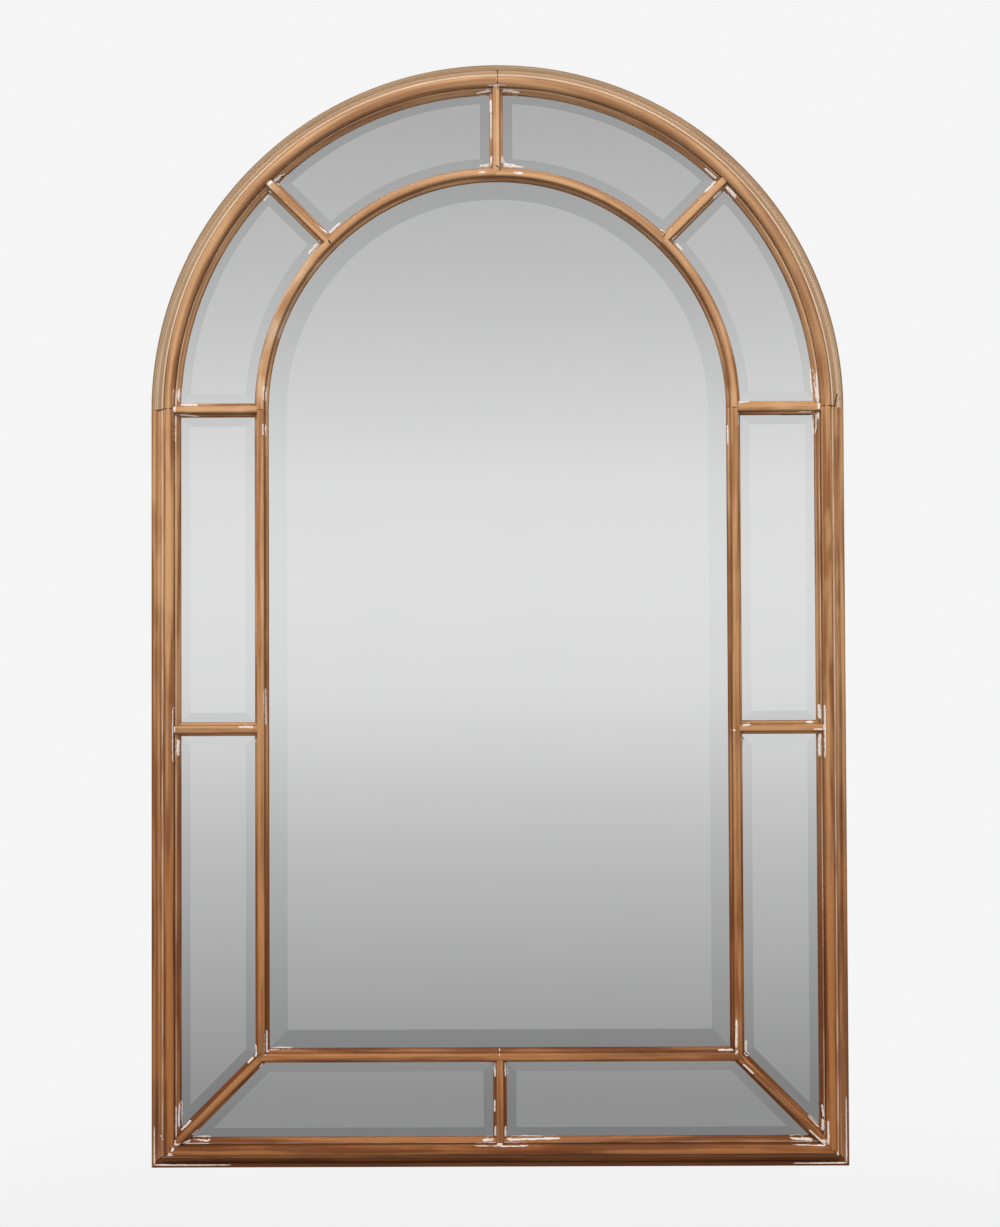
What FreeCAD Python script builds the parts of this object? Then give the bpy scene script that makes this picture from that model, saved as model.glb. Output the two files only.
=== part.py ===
import FreeCAD, Part
import math
import os

import Sketcher
from FreeCAD import Placement, Rotation, Vector

# Arched window mirror: a moulded wooden frame with a half-round head, eleven bevelled
# mirror panes parted by glazing bars, a backing board, and two swinging D-rings to hang it by.
#
# X runs to the right as the mirror is looked at, Z runs up, and the front faces -Y.
# The wall is the plane Y = 0. The origin is midway between the two wall hooks, where
# they touch it, so the frame's back stands off the wall at Y = -wall_gap.
#
# Sections are drawn with u, the distance in from a member's outer edge, along X, and
# with the depth in front of the frame's back along -Y. All sizes are in millimetres.

SIZES = {
    # Whole mirror.
    "overall_width": 768,
    "overall_height": 1220,
    "border_spacing": 122,
    "side_bar_height": 482,
    # Frame moulding, from its outer edge inwards.
    "outer_bead_width": 5.5,
    "outer_bead_rise": 2,
    "cove_radius": 7,
    "fillet_width": 3,
    "torus_width": 10.8,
    "quirk_width": 0.9,
    "inner_bead_radius": 4.8,
    # Heights of the moulding's members in front of the frame's back.
    "edge_height": 21,
    "cove_foot": 20,
    "torus_foot": 28.6,
    "quirk_floor": 23.4,
    "back_land": 18,
    # The lip that holds the glass, alike on the frame and on the bars.
    "lip_height": 18,
    "lip_thickness": 2,
    # Glazing bars.
    "bar_width": 15,
    "nose_width": 8,
    "nose_round": 2.2,
    "nose_foot": 22.5,
    "nose_top": 30,
    "scribed_nose_drop": 1,
    "scribe_reach": 0.4,
    # Mirror glass.
    "glass_thickness": 4,
    "bevel_drop": 1.2,
    "border_bevel": 15,
    "centre_bevel": 25,
    "glass_cover": 4.5,
    "glass_edge_gap": 1,
    "glass_gap": 0.1,
    # Backing board.
    "board_thickness": 5,
    "board_gap": 0.1,
    "board_edge_gap": 1,
    # Round-headed slotted wood screws.
    "screw_radius": 1.5,
    "screw_length": 14,
    "screw_tip": 2.5,
    "head_radius": 3,
    "head_height": 2,
    "head_rim": 0.6,
    "slot_width": 0.8,
    "slot_depth": 0.9,
    "screw_hole_gap": 0.25,
    # Dowels in the frame's joints.
    "dowel_radius": 4,
    "dowel_length": 40,
    "dowel_gap": 0.1,
    "dowel_depth": 10,
    "dowel_inset": 9,
    "mitre_dowel_length": 24,
    "mitre_dowel_inset": 14,
    # D-ring hangers.
    "springing_above_hooks": 60,
    "hanger_inset": 12,
    "strap_width": 10,
    "strap_thickness": 1,
    "strap_length": 44,
    "strap_corner": 3,
    "strap_first_screw": 25,
    "strap_screw_pitch": 13,
    "ring_wire": 3,
    "ring_reach": 16,
    "ring_bend": 3,
    "ring_side_gap": 0.5,
    "hinge_gap": 0.06,
    # Wall bumpers.
    "wall_gap": 6,
    "bumper_radius": 6,
    "bumper_rounding": 1,
    "bumper_inset": 9,
    "bumper_from_side": 40,
}

ARCH_PANES = 4
SECTOR = 180 / ARCH_PANES
STILE_SCREWS = 4
RAIL_SCREWS = 4
ARCH_SCREWS = 4

doc = FreeCAD.newDocument("arched_window_mirror")
sheet = doc.addObject("Spreadsheet::Sheet", "Sizes")
for row, (alias, size) in enumerate(SIZES.items(), 1):
    sheet.set(f"A{row}", alias)
    sheet.set(f"B{row}", str(size))
    sheet.setAlias(f"B{row}", alias)
doc.recompute()

# Places that follow from the sizes, as expressions on the sheet.

HALF_WIDTH = "(Sizes.overall_width / 2)"
SPRINGING = "Sizes.springing_above_hooks"
STRAIGHT = f"(Sizes.overall_height - {HALF_WIDTH})"
BASE = f"({SPRINGING} - {STRAIGHT})"
FRAME_BACK = "-Sizes.wall_gap"

COVE = "Sizes.outer_bead_width"
FILLET = f"({COVE} + Sizes.cove_radius)"
FILLET_HEIGHT = "(Sizes.cove_foot + Sizes.cove_radius)"
TORUS = f"({FILLET} + Sizes.fillet_width)"
QUIRK = f"({TORUS} + Sizes.torus_width)"
INNER_BEAD = f"({QUIRK} + Sizes.quirk_width)"
SIGHT = f"({INNER_BEAD} + Sizes.inner_bead_radius)"
LIP_FACE = "(Sizes.lip_height + Sizes.lip_thickness)"
GLASS_ROOM = "(Sizes.glass_cover + Sizes.glass_edge_gap)"
GLASS_BACK = (
    "(Sizes.lip_height - Sizes.glass_gap - Sizes.glass_thickness"
    " + Sizes.bevel_drop * (1 - Sizes.glass_cover / Sizes.border_bevel))"
)
BOARD_FRONT = f"({GLASS_BACK} - Sizes.board_gap)"
BOARD_BACK = f"({BOARD_FRONT} - Sizes.board_thickness)"
BOARD_INSET = "(Sizes.back_land + Sizes.board_edge_gap)"
SCREW_INSET = f"((Sizes.back_land + {SIGHT} - {GLASS_ROOM}) / 2)"

BAR_EDGE = "(Sizes.bar_width / 2)"
INNER_RADIUS = f"({HALF_WIDTH} - Sizes.border_spacing)"
INNER_EDGE = f"(Sizes.border_spacing - {BAR_EDGE})"
BAR_TO_GLASS = f"({BAR_EDGE} - Sizes.glass_cover)"
EDGE_TO_GLASS = f"({SIGHT} - Sizes.glass_cover)"

KNUCKLE_BORE = "(Sizes.ring_wire / 2 + Sizes.hinge_gap)"
KNUCKLE_RADIUS = f"({KNUCKLE_BORE} + Sizes.strap_thickness)"
KNUCKLE = "-Sizes.ring_reach"


def value(expression):
    """The number that an expression on the sheet comes to."""
    return float(sheet.evalExpression(str(expression)))


# Bodies, sketches and features.


def new_body(label, x="0", y=FRAME_BACK, z="0", turn=0):
    """A body whose own Y axis is the mirror's, turned about it and set down at x, y, z."""
    body = doc.addObject("PartDesign::Body", label)
    body.Placement = Placement(Vector(), Rotation(Vector(0, 1, 0), turn))
    for axis, place in zip("xyz", (x, y, z)):
        body.setExpression(f"Placement.Base.{axis}", place)
    return body


def origin_part(body, role):
    """A plane or an axis of the body's own origin."""
    return next(part for part in body.Origin.OriginFeatures if part.Role == role)


def new_sketch(body, role, lift="0", shift=("0", "0"), tilt=0):
    """A sketch on one of the body's origin planes, moved along its own axes and then tilted."""
    sketch = body.newObject("Sketcher::SketchObject", f"{body.Label}_sketch")
    sketch.AttachmentSupport = [(origin_part(body, role), "")]
    sketch.MapMode = "FlatFace"
    sketch.AttachmentOffset = Placement(Vector(), Rotation(Vector(0, 1, 0), tilt))
    for axis, place in zip("xyz", (*shift, lift)):
        sketch.setExpression(f"AttachmentOffset.Base.{axis}", place)
    return sketch


def bind(sketch, kind, ends, expression):
    """A dimension whose value is an expression on the sheet."""
    index = sketch.addConstraint(Sketcher.Constraint(kind, *ends, value(expression)))
    sketch.setExpression(f"Constraints[{index}]", expression)


def pin(sketch, edge, end, x, y):
    """Holds one end of an edge, or a circle's centre, at x, y."""
    for kind, axis, place in (("DistanceX", -2, x), ("DistanceY", -1, y)):
        if place == "0":
            sketch.addConstraint(Sketcher.Constraint("PointOnObject", edge, end, axis))
        else:
            bind(sketch, kind, (-1, 1, edge, end), place)


def arc_between(start, end, radius, turn):
    """The arc of under half a circle from start to end, bending left for turn 1, right for -1."""
    chord = end - start
    rise = math.sqrt(max(radius**2 - chord.Length**2 / 4, 0))
    left = Vector(-chord.y, chord.x, 0).normalize()
    centre = (start + end) / 2 + left * rise * turn
    first, last = (start, end) if turn > 0 else (end, start)
    angles = [math.atan2(point.y - centre.y, point.x - centre.x) for point in (first, last)]
    if angles[1] < angles[0]:
        angles[1] += 2 * math.pi
    return Part.ArcOfCircle(Part.Circle(centre, Vector(0, 0, 1), radius), *angles)


def draw(sketch, corners):
    """A closed outline through the corners, all bound to the sheet. A corner is x, y, and
    also the radius and turn of the arc that leads to it where that isn't a straight line."""
    points = [Vector(value(corner[0]), value(corner[1]), 0) for corner in corners]
    joins = []
    for index, corner in enumerate(corners):
        start, end = points[index - 1], points[index]
        if len(corner) == 2:
            edge = sketch.addGeometry(Part.LineSegment(start, end))
            joins.append((edge, 1, 2))
            continue
        radius, turn = corner[2:]
        edge = sketch.addGeometry(arc_between(start, end, value(radius), turn))
        joins.append((edge, 1, 2) if turn > 0 else (edge, 2, 1))
    for index, (edge, tail, head) in enumerate(joins):
        following, next_tail, _ = joins[(index + 1) % len(joins)]
        sketch.addConstraint(Sketcher.Constraint("Coincident", edge, head, following, next_tail))
        pin(sketch, edge, head, corners[index][0], corners[index][1])
        if len(corners[index]) > 2:
            bind(sketch, "Radius", (edge,), corners[index][2])


def draw_circles(sketch, centres, radius):
    """Circles of one radius at the given centres."""
    for x, y in centres:
        spot = Vector(value(x), value(y), 0)
        edge = sketch.addGeometry(Part.Circle(spot, Vector(0, 0, 1), value(radius)))
        pin(sketch, edge, 3, x, y)
        bind(sketch, "Radius", (edge,), radius)


def extrude(body, sketch, length, kind="Pad", both_ways=False, reverse=False):
    """A pad, or with kind Pocket a cut, of the sketch by a length from the sheet."""
    feature = body.newObject(f"PartDesign::{kind}", f"{body.Label}_{kind.lower()}")
    feature.Profile = sketch
    feature.Midplane = both_ways
    feature.Reversed = reverse
    feature.setExpression("Length", length)
    return feature


def bore(body, centres, radius, length, height="0"):
    """Round holes that run forward, towards -Y, from a plane at a height before the back."""
    sketch = new_sketch(body, "XZ_Plane", lift=height)
    draw_circles(sketch, centres, radius)
    return extrude(body, sketch, length, kind="Pocket", reverse=True)


def revolve(body, sketch, angle=360):
    """A solid turned about the body's Y axis, from its X axis down towards -Z."""
    feature = body.newObject("PartDesign::Revolution", f"{body.Label}_revolution")
    feature.Profile = sketch
    feature.ReferenceAxis = (origin_part(body, "Y_Axis"), [""])
    feature.Angle = angle
    return feature


# Sections of the mouldings. Each is drawn from its outer edge at u = 0; in a curved
# member, u runs towards the arch's centre, which mirrors the outline.


def section(sketch, corners, radius=None, shift="0"):
    """Draws corners of u and height on the X-Y plane, for a straight or a curved member."""
    placed = []
    for u, height, *arc in corners:
        across = f"{shift} + {u}" if radius is None else f"{radius} - {u}"
        if arc:
            arc = [arc[0], arc[1] if radius is None else -arc[1]]
        placed.append((across if shift != "0" or radius else u, f"-{height}", *arc))
    draw(sketch, placed)


def frame_corners():
    """The frame's moulding: bead, cove, fillet, torus and inner bead, with a rebate for
    the glass and a shallow one behind it for the board."""
    rise = "Sizes.outer_bead_rise"
    bead_arc = f"(({COVE} / 2)^2 + {rise}^2) / (2 * {rise})"
    torus_radius = "(Sizes.torus_width / 2)"
    bead_top = f"({LIP_FACE} + Sizes.inner_bead_radius)"
    glass_wall = f"({SIGHT} - {GLASS_ROOM})"
    return [
        ("0", "Sizes.edge_height"),
        (COVE, "Sizes.edge_height", bead_arc, 1),
        (COVE, "Sizes.cove_foot"),
        (FILLET, FILLET_HEIGHT, "Sizes.cove_radius", -1),
        (TORUS, FILLET_HEIGHT),
        (TORUS, "Sizes.torus_foot"),
        (f"({TORUS} + {torus_radius})", f"(Sizes.torus_foot + {torus_radius})", torus_radius, 1),
        (QUIRK, "Sizes.torus_foot", torus_radius, 1),
        (QUIRK, "Sizes.quirk_floor"),
        (INNER_BEAD, "Sizes.quirk_floor"),
        (INNER_BEAD, bead_top),
        (SIGHT, LIP_FACE, "Sizes.inner_bead_radius", 1),
        (SIGHT, "Sizes.lip_height"),
        (glass_wall, "Sizes.lip_height"),
        (glass_wall, BOARD_FRONT),
        ("Sizes.back_land", BOARD_FRONT),
        ("Sizes.back_land", "0"),
        ("0", "0"),
    ]


def bar_corners(nose_top="Sizes.nose_top"):
    """A glazing bar: a lip over the glass on each side, a nose with rounded edges in
    front and a tongue behind, which stands between the panes and reaches the board."""
    shoulder = f"({BAR_EDGE} - Sizes.nose_width / 2)"
    far_shoulder = f"({BAR_EDGE} + Sizes.nose_width / 2)"
    tongue = f"({BAR_EDGE} - {GLASS_ROOM})"
    nose_side = f"({nose_top} - Sizes.nose_round)"
    return [
        ("0", LIP_FACE),
        (shoulder, "Sizes.nose_foot"),
        (shoulder, nose_side),
        (f"({shoulder} + Sizes.nose_round)", f"({nose_top})", "Sizes.nose_round", 1),
        (f"({far_shoulder} - Sizes.nose_round)", f"({nose_top})"),
        (far_shoulder, nose_side, "Sizes.nose_round", 1),
        (far_shoulder, "Sizes.nose_foot"),
        ("Sizes.bar_width", LIP_FACE),
        ("Sizes.bar_width", "Sizes.lip_height"),
        (f"({BAR_EDGE} + {tongue})", "Sizes.lip_height"),
        (f"({BAR_EDGE} + {tongue})", BOARD_FRONT),
        (f"({BAR_EDGE} - {tongue})", BOARD_FRONT),
        (f"({BAR_EDGE} - {tongue})", "Sizes.lip_height"),
        ("0", "Sizes.lip_height"),
    ]


# Members: sticks run along their own Z axis, arcs turn about the arch's centre.


def stick(label, corners, x, z, heading, length, shift="0"):
    """A straight member from x, z. A heading of 0 runs up, 90 to the right, -90 to the left."""
    body = new_body(label, x=x, z=z, turn=heading)
    sketch = new_sketch(body, "XY_Plane")
    section(sketch, corners, shift=shift)
    extrude(body, sketch, length)
    return body


def mitre(body, face, length=None):
    """Cuts the corner off a stick's start, or off its end if its length is given, at 45
    degrees from its outer edge."""
    reach = f"({face} + 1)"
    if length is None:
        triangle = [("0", "0"), (reach, "0"), (reach, reach)]
    else:
        triangle = [("0", length), (reach, length), (reach, f"({length} - {reach})")]
    sketch = new_sketch(body, "XZ_Plane")
    draw(sketch, triangle)
    extrude(body, sketch, f"2 * ({FILLET_HEIGHT} + Sizes.torus_width)", kind="Pocket", both_ways=True)


def arc(label, corners, radius, start, sweep):
    """A curved member about the arch's centre: clockwise from start, an angle that is 0 at
    the right springing and 90 at the crown."""
    body = new_body(label, z=SPRINGING, turn=-start)
    sketch = new_sketch(body, "XY_Plane")
    section(sketch, corners, radius=radius)
    revolve(body, sketch, sweep)
    return body


def dowel_hole(body, u, along, tilt, length):
    """A hole for a dowel, half on each side of a plane that cuts the member at a joint."""
    sketch = new_sketch(body, "XY_Plane", lift=along, shift=(u, "0"), tilt=tilt)
    draw_circles(sketch, [("0", "-Sizes.dowel_depth")], "Sizes.dowel_radius + Sizes.dowel_gap")
    extrude(body, sketch, f"({length} + 2 * Sizes.dowel_gap)", kind="Pocket", both_ways=True)


def pilot_holes(body, sites):
    """Holes for the backing screws in the step that the board rests on."""
    depth = "(Sizes.screw_length - Sizes.board_thickness)"
    bore(body, sites, "Sizes.screw_radius", depth, height=BOARD_FRONT)


def spread(count, length):
    """Places spread evenly along a length, half a space in from its ends."""
    return [f"{length} * {(index + 0.5) / count:.6g}" for index in range(count)]


def spread_angles(count, sweep):
    """Angles spread evenly over a sweep, half a space in from its ends."""
    return [sweep * (index + 0.5) / count for index in range(count)]


def polar(radius, angle):
    """The point at a radius and an angle, the angle being fixed."""
    return f"{radius} * cos({angle})", f"{radius} * sin({angle})"


SCREW_RADIUS_LINE = f"({HALF_WIDTH} - {SCREW_INSET})"
STRAP_SCREWS = ["Sizes.strap_first_screw", "(Sizes.strap_first_screw + Sizes.strap_screw_pitch)"]


def frame_stile(label, side):
    """A stile, from the mitred bottom corner to the arch. side is -1 for left, 1 for right."""
    left = side < 0
    body = stick(
        label,
        frame_corners(),
        x=f"{side} * {HALF_WIDTH}",
        z=BASE if left else SPRINGING,
        heading=0 if left else 180,
        length=STRAIGHT,
    )
    mitre(body, SIGHT, None if left else STRAIGHT)
    joint = STRAIGHT if left else "0"
    dowel_hole(body, "Sizes.dowel_inset", joint, 0, "Sizes.dowel_length")
    corner = "Sizes.mitre_dowel_inset"
    corner_along = corner if left else f"({STRAIGHT} - {corner})"
    dowel_hole(body, corner, corner_along, -45 if left else 45, "Sizes.mitre_dowel_length")
    pilot_holes(body, [(SCREW_INSET, along) for along in spread(STILE_SCREWS, STRAIGHT)])
    strap_sites = []
    for below in STRAP_SCREWS:
        from_springing = f"({SPRINGING} - {KNUCKLE} + {below})"
        along = f"({STRAIGHT} - {from_springing})" if left else from_springing
        strap_sites.append(("Sizes.hanger_inset", along))
    depth = "(Sizes.screw_length - Sizes.strap_thickness)"
    bore(body, strap_sites, "Sizes.screw_radius", depth)
    return body


def frame_rail(label):
    """The bottom rail, mitred to both stiles, run from right to left."""
    body = stick(label, frame_corners(), HALF_WIDTH, BASE, -90, "Sizes.overall_width")
    mitre(body, SIGHT)
    mitre(body, SIGHT, "Sizes.overall_width")
    corner = "Sizes.mitre_dowel_inset"
    dowel_hole(body, corner, corner, -45, "Sizes.mitre_dowel_length")
    far_corner = f"(Sizes.overall_width - {corner})"
    dowel_hole(body, corner, far_corner, 45, "Sizes.mitre_dowel_length")
    pilot_holes(body, [(SCREW_INSET, along) for along in spread(RAIL_SCREWS, "Sizes.overall_width")])
    return body


def frame_arch(label, start):
    """A quarter of the frame's arch, cut from solid wood, clockwise from start."""
    sweep = 90
    body = arc(label, frame_corners(), HALF_WIDTH, start, sweep)
    inset = f"({HALF_WIDTH} - Sizes.dowel_inset)"
    dowel_hole(body, inset, "0", 0, "Sizes.dowel_length")
    dowel_hole(body, "0", f"-{inset}", sweep, "Sizes.dowel_length")
    sites = [polar(SCREW_RADIUS_LINE, -angle) for angle in spread_angles(ARCH_SCREWS, sweep)]
    pilot_holes(body, sites)
    return body


def scribed_bar(label, x, z, heading, length, neighbours):
    """A bar that butts on its neighbours, its ends cut to fit over their mouldings."""
    corners = bar_corners("(Sizes.nose_top - Sizes.scribed_nose_drop)")
    blank = stick(f"{label}_blank", corners, x, z, heading, length, shift=f"-{BAR_EDGE}")
    mouldings = doc.addObject("Part::Compound", f"{label}_neighbours")
    mouldings.Links = neighbours
    cut = doc.addObject("Part::Cut", label)
    cut.Base = blank
    cut.Tool = mouldings
    return cut


# Mirror panes, bevelled on every edge of the front.


def pane(label, corners, bevel, z=SPRINGING, turn=0):
    """A pane from its outline on the X-Z plane, its back flat on the backing board."""
    body = new_body(label, y=f"{FRAME_BACK} - {GLASS_BACK}", z=z, turn=turn)
    sketch = new_sketch(body, "XZ_Plane")
    draw(sketch, corners)
    plate = extrude(body, sketch, "Sizes.glass_thickness")
    doc.recompute()
    faces = plate.Shape.Faces
    front = min(range(len(faces)), key=lambda index: faces[index].CenterOfGravity.y)
    edge = body.newObject("PartDesign::Chamfer", f"{label}_bevel")
    edge.Base = (plate, [f"Face{front + 1}"])
    edge.ChamferType = "Two distances"
    edge.FlipDirection = True
    edge.setExpression("Size", bevel)
    edge.setExpression("Size2", "Sizes.bevel_drop")
    return body


def centre_pane():
    """The large arch-headed pane inside the inner ring of bars."""
    radius = f"({INNER_RADIUS} - {BAR_TO_GLASS})"
    foot = f"-({STRAIGHT} - Sizes.border_spacing - {BAR_TO_GLASS})"
    corners = [
        (f"-{radius}", foot),
        (radius, foot),
        (radius, "0"),
        ("0", radius, radius, 1),
        (f"-{radius}", "0", radius, 1),
    ]
    return pane("pane_centre", corners, "Sizes.centre_bevel")


def arch_pane(label, start):
    """A pane between two spokes: a sector of the border, with straight sides parallel to
    the spokes. start is the angle of its lower ray, anticlockwise from the right."""
    outer = f"({HALF_WIDTH} - {EDGE_TO_GLASS})"
    inner = f"({INNER_RADIUS} + {BAR_TO_GLASS})"
    away = BAR_TO_GLASS
    near, far = (f"sqrt({radius}^2 - {away}^2)" for radius in (inner, outer))

    def mirrored(along):
        """The point across the sector from one at this distance along its first ray."""
        x = f"({along} * cos({SECTOR}) + {away} * sin({SECTOR}))"
        y = f"({along} * sin({SECTOR}) - {away} * cos({SECTOR}))"
        return x, y

    corners = [
        (near, away),
        (far, away),
        (*mirrored(far), outer, 1),
        mirrored(near),
    ]
    closing = (near, away, inner, -1)
    return pane(label, [closing] + corners[1:], "Sizes.border_bevel", turn=-start)


def side_pane(label, side, upper):
    """A pane beside the centre one, above or below the side bar. The lower one's foot
    follows the bar in the frame's corner."""
    outer = f"{side} * ({HALF_WIDTH} - {EDGE_TO_GLASS})"
    inner = f"{side} * ({INNER_RADIUS} + {BAR_TO_GLASS})"
    above_bar = f"(Sizes.side_bar_height + {BAR_TO_GLASS})"
    if upper:
        top = f"({STRAIGHT} - {BAR_TO_GLASS})"
        corners = [(outer, above_bar), (inner, above_bar), (inner, top), (outer, top)]
    else:
        top = f"(Sizes.side_bar_height - {BAR_TO_GLASS})"
        slant = f"{BAR_TO_GLASS} * sqrt(2)"
        outer_foot = f"({EDGE_TO_GLASS} + {slant})"
        inner_foot = f"(Sizes.border_spacing - {BAR_TO_GLASS} + {slant})"
        corners = [(outer, outer_foot), (inner, inner_foot), (inner, top), (outer, top)]
    return pane(label, corners, "Sizes.border_bevel", z=BASE)


def bottom_pane(label, side):
    """A pane below the centre one, between a corner bar and the bottom centre bar."""
    slant = f"{BAR_TO_GLASS} * sqrt(2)"
    top = f"(Sizes.border_spacing - {BAR_TO_GLASS})"
    outer_foot = f"{side} * ({HALF_WIDTH} - {EDGE_TO_GLASS} - {slant})"
    outer_top = f"{side} * ({HALF_WIDTH} - {top} - {slant})"
    inner = f"{side} * {BAR_TO_GLASS}"
    corners = [(outer_foot, EDGE_TO_GLASS), (inner, EDGE_TO_GLASS), (inner, top), (outer_top, top)]
    return pane(label, corners, "Sizes.border_bevel", z=BASE)


# Back: board, screws, dowels, bumpers and hangers.


def backing_screw_sites():
    """Where the backing screws stand, as X and Z from the arch's centre."""
    sites = []
    for side in (-1, 1):
        for along in spread(STILE_SCREWS, STRAIGHT):
            sites.append((f"{side} * {SCREW_RADIUS_LINE}", f"{along} - {STRAIGHT}"))
        for angle in spread_angles(ARCH_SCREWS, 90):
            x, z = polar(SCREW_RADIUS_LINE, angle)
            sites.append((f"{side} * {x}", z))
    for along in spread(RAIL_SCREWS, "Sizes.overall_width"):
        sites.append((f"{along} - {HALF_WIDTH}", f"{SCREW_INSET} - {STRAIGHT}"))
    return sites


def backing_board():
    """The board that backs the panes, let into the frame and screwed to its step."""
    radius = f"({HALF_WIDTH} - {BOARD_INSET})"
    foot = f"-({STRAIGHT} - {BOARD_INSET})"
    body = new_body("backing_board", y=f"{FRAME_BACK} - {BOARD_BACK}", z=SPRINGING)
    sketch = new_sketch(body, "XZ_Plane")
    corners = [
        (f"-{radius}", foot),
        (radius, foot),
        (radius, "0"),
        ("0", radius, radius, 1),
        (f"-{radius}", "0", radius, 1),
    ]
    draw(sketch, corners)
    extrude(body, sketch, "Sizes.board_thickness")
    hole = "Sizes.screw_radius + Sizes.screw_hole_gap"
    bore(body, backing_screw_sites(), hole, "Sizes.board_thickness")
    return body


def turned(label, corners):
    """A small round piece, its half outline turned about its own Y axis."""
    body = new_body(label, y="0")
    draw(new_sketch(body, "XY_Plane"), corners)
    revolve(body, body.Group[-1])
    return body


def group(label, pattern, sites):
    """Copies of one piece at the sites, as one sub-part of separate solids."""
    copies = []
    for index, (x, y, z) in enumerate(sites, 1):
        copy = doc.addObject("App::Link", f"{label}_{index}")
        copy.LinkedObject = pattern
        for axis, place in zip("xyz", (x, y, z)):
            copy.setExpression(f"Placement.Base.{axis}", place)
        copies.append(copy)
    compound = doc.addObject("Part::Compound", label)
    compound.Links = copies
    return compound


def wood_screw():
    """A slotted round-headed screw, its head's underside at Y = 0 and its tip at -Y."""
    crown = "(Sizes.head_height - Sizes.head_rim)"
    dome = f"((Sizes.head_radius^2 + {crown}^2) / (2 * {crown}))"
    body = turned(
        "wood_screw",
        [
            ("0", "-Sizes.screw_length"),
            ("Sizes.screw_radius", "-(Sizes.screw_length - Sizes.screw_tip)"),
            ("Sizes.screw_radius", "0"),
            ("Sizes.head_radius", "0"),
            ("Sizes.head_radius", "Sizes.head_rim"),
            ("0", "Sizes.head_height", dome, 1),
        ],
    )
    slot = new_sketch(body, "XZ_Plane", lift="-(Sizes.head_height - Sizes.slot_depth)")
    half, end = "(Sizes.slot_width / 2)", "(Sizes.head_radius + 1)"
    draw(slot, [(f"-{end}", f"-{half}"), (end, f"-{half}"), (end, half), (f"-{end}", half)])
    extrude(body, slot, "Sizes.head_height", kind="Pocket")
    return body


def dowel(label, x, z, tilt, length):
    """A dowel centred at x, z in a joint of the frame. A tilt of 0 stands upright."""
    pin_body = doc.addObject("Part::Cylinder", label)
    pin_body.setExpression("Radius", "Sizes.dowel_radius")
    pin_body.setExpression("Height", length)
    pin_body.Placement = Placement(Vector(), Rotation(Vector(0, 1, 0), tilt))
    reach = math.sin(math.radians(tilt)), math.cos(math.radians(tilt))
    pin_body.setExpression("Placement.Base.x", f"{x} - {length} / 2 * {reach[0]:.9f}")
    pin_body.setExpression("Placement.Base.y", f"{FRAME_BACK} - Sizes.dowel_depth")
    pin_body.setExpression("Placement.Base.z", f"{z} - {length} / 2 * {reach[1]:.9f}")
    return pin_body


def frame_dowels():
    """A dowel in each of the frame's five joints: crown, springings and bottom mitres."""
    inset, corner = "Sizes.dowel_inset", "Sizes.mitre_dowel_inset"
    length, short = "Sizes.dowel_length", "Sizes.mitre_dowel_length"
    dowels = [dowel("crown_dowel", "0", f"{SPRINGING} + {HALF_WIDTH} - {inset}", 90, length)]
    for name, side in (("left", -1), ("right", 1)):
        x = f"{side} * ({HALF_WIDTH} - {inset})"
        dowels.append(dowel(f"springing_dowel_{name}", x, SPRINGING, 0, length))
        x = f"{side} * ({HALF_WIDTH} - {corner})"
        dowels.append(dowel(f"mitre_dowel_{name}", x, f"{BASE} + {corner}", side * 45, short))
    compound = doc.addObject("Part::Compound", "frame_joint_dowels")
    compound.Links = dowels
    return compound


def wall_bumper():
    """A round felt pad, its face on the wall at Y = 0."""
    face = "(Sizes.bumper_radius - Sizes.bumper_rounding)"
    return turned(
        "wall_bumper",
        [
            ("0", "-Sizes.wall_gap"),
            ("Sizes.bumper_radius", "-Sizes.wall_gap"),
            ("Sizes.bumper_radius", "-Sizes.bumper_rounding"),
            (face, "0", "Sizes.bumper_rounding", 1),
            ("0", "0"),
        ],
    )


def bumper_sites():
    """Two bumpers on the bottom rail and two on the arch, on the frame's back land."""
    inset = "Sizes.bumper_inset"
    sites = []
    for side in (-1, 1):
        x = f"{side} * ({HALF_WIDTH} - Sizes.bumper_from_side)"
        sites.append((x, "0", f"{BASE} + {inset}"))
        x, z = polar(f"({HALF_WIDTH} - {inset})", SECTOR)
        sites.append((f"{side} * {x}", "0", f"{SPRINGING} + {z}"))
    return sites


def hanger_plate(label, side):
    """A strap of steel rolled into a knuckle for the ring, screwed to the stile's back."""
    x = f"{side} * ({HALF_WIDTH} - Sizes.hanger_inset)"
    body = new_body(label, x=x, z=KNUCKLE)
    half, corner = "(Sizes.strap_width / 2)", "Sizes.strap_corner"
    foot = "Sizes.strap_length"
    strap = new_sketch(body, "XZ_Plane")
    corners = [
        (half, "0"),
        (f"-{half}", "0"),
        (f"-{half}", f"-({foot} - {corner})"),
        (f"-({half} - {corner})", f"-{foot}", corner, 1),
        (f"({half} - {corner})", f"-{foot}"),
        (half, f"-({foot} - {corner})", corner, 1),
    ]
    draw(strap, corners)
    extrude(body, strap, "Sizes.strap_thickness", reverse=True)
    for radius, kind in ((KNUCKLE_RADIUS, "Pad"), (KNUCKLE_BORE, "Pocket")):
        roll = new_sketch(body, "YZ_Plane")
        draw_circles(roll, [(KNUCKLE_RADIUS, "0")], radius)
        extrude(body, roll, "Sizes.strap_width", kind=kind, both_ways=True)
    holes = new_sketch(body, "XZ_Plane")
    centres = [("0", f"-{below}") for below in STRAP_SCREWS]
    draw_circles(holes, centres, "Sizes.screw_radius + Sizes.screw_hole_gap")
    extrude(body, holes, "Sizes.strap_thickness", kind="Pocket")
    return body


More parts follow.
